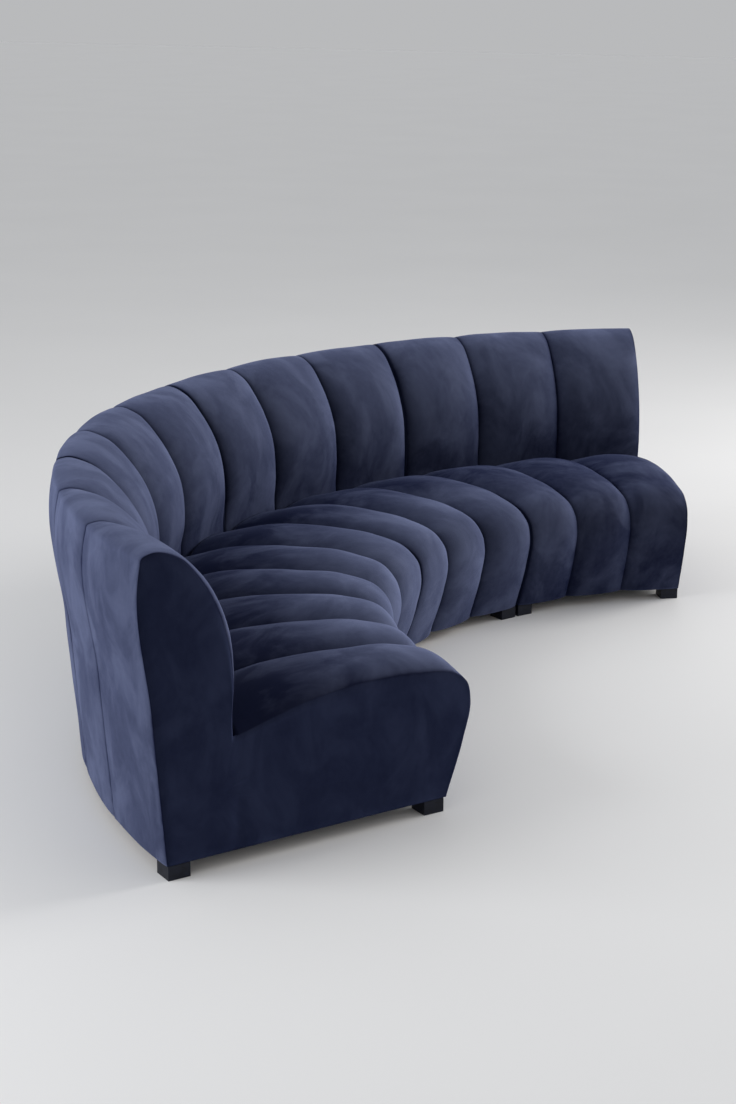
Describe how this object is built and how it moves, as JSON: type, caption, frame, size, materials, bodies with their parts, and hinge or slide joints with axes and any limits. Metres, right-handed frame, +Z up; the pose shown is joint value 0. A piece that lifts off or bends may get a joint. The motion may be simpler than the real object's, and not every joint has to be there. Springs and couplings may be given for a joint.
{
  "type": "curved sofa",
  "caption": "Curved sectional sofa with vertical padded channels in dark blue velvet, on low block feet.",
  "frame": {"origin": "on the floor, under the middle of the whole sofa's box", "axes": "+Z up, +X along the sofa's length towards section 1, the hollow seating side faces -Y"},
  "size_m": [3.835, 1.5987, 0.8767],
  "materials": {
    "velvet": "matte",
    "velvet_flat": "matte",
    "timber": "matte",
    "plywood": "matte",
    "foam": "matte",
    "lining": "matte",
    "webbing": "matte",
    "foot_wood": "satin",
    "zinc_steel": "satin"
  },
  "bodies": {
    "section_1": {"section_1_seat_channels": "velvet", "section_1_back_channels": "velvet", "section_1_end_panels": "velvet_flat", "section_1_front_rail": "timber", "section_1_rear_rail": "timber", "section_1_seat_rail": "timber", "section_1_top_rail": "timber", "section_1_frames": "plywood", "section_1_seat_foam": "foam", "section_1_under_cover": "lining", "section_1_back_webbing": "webbing", "section_1_seat_webbing": "webbing", "section_1_feet": "foot_wood", "section_1_screws": "zinc_steel", "section_1_connectors": "zinc_steel"},
    "section_2": {"section_2_seat_channels": "velvet", "section_2_back_channels": "velvet", "section_2_end_panels": "velvet_flat", "section_2_front_rail": "timber", "section_2_rear_rail": "timber", "section_2_seat_rail": "timber", "section_2_top_rail": "timber", "section_2_frames": "plywood", "section_2_seat_foam": "foam", "section_2_under_cover": "lining", "section_2_back_webbing": "webbing", "section_2_seat_webbing": "webbing", "section_2_feet": "foot_wood", "section_2_screws": "zinc_steel", "section_2_connectors": "zinc_steel"},
    "section_3": {"section_3_seat_channels": "velvet", "section_3_back_channels": "velvet", "section_3_end_panels": "velvet_flat", "section_3_front_rail": "timber", "section_3_rear_rail": "timber", "section_3_seat_rail": "timber", "section_3_top_rail": "timber", "section_3_frames": "plywood", "section_3_seat_foam": "foam", "section_3_under_cover": "lining", "section_3_back_webbing": "webbing", "section_3_seat_webbing": "webbing", "section_3_feet": "foot_wood", "section_3_screws": "zinc_steel", "section_3_connectors": "zinc_steel"},
    "section_4": {"section_4_seat_channels": "velvet", "section_4_back_channels": "velvet", "section_4_end_panels": "velvet_flat", "section_4_front_rail": "timber", "section_4_rear_rail": "timber", "section_4_seat_rail": "timber", "section_4_top_rail": "timber", "section_4_frames": "plywood", "section_4_seat_foam": "foam", "section_4_under_cover": "lining", "section_4_back_webbing": "webbing", "section_4_seat_webbing": "webbing", "section_4_feet": "foot_wood", "section_4_screws": "zinc_steel", "section_4_connectors": "zinc_steel"}
  },
  "joints": [
    {"name": "section_1_lift", "type": "slide", "parent": "section_2", "child": "section_1", "axis": [0, 0, 1], "range_m": [0, 0.06]},
    {"name": "section_3_lift", "type": "slide", "parent": "section_2", "child": "section_3", "axis": [0, 0, 1], "range_m": [0, 0.06]},
    {"name": "section_4_lift", "type": "slide", "parent": "section_3", "child": "section_4", "axis": [0, 0, 1], "range_m": [0, 0.06]}
  ]
}
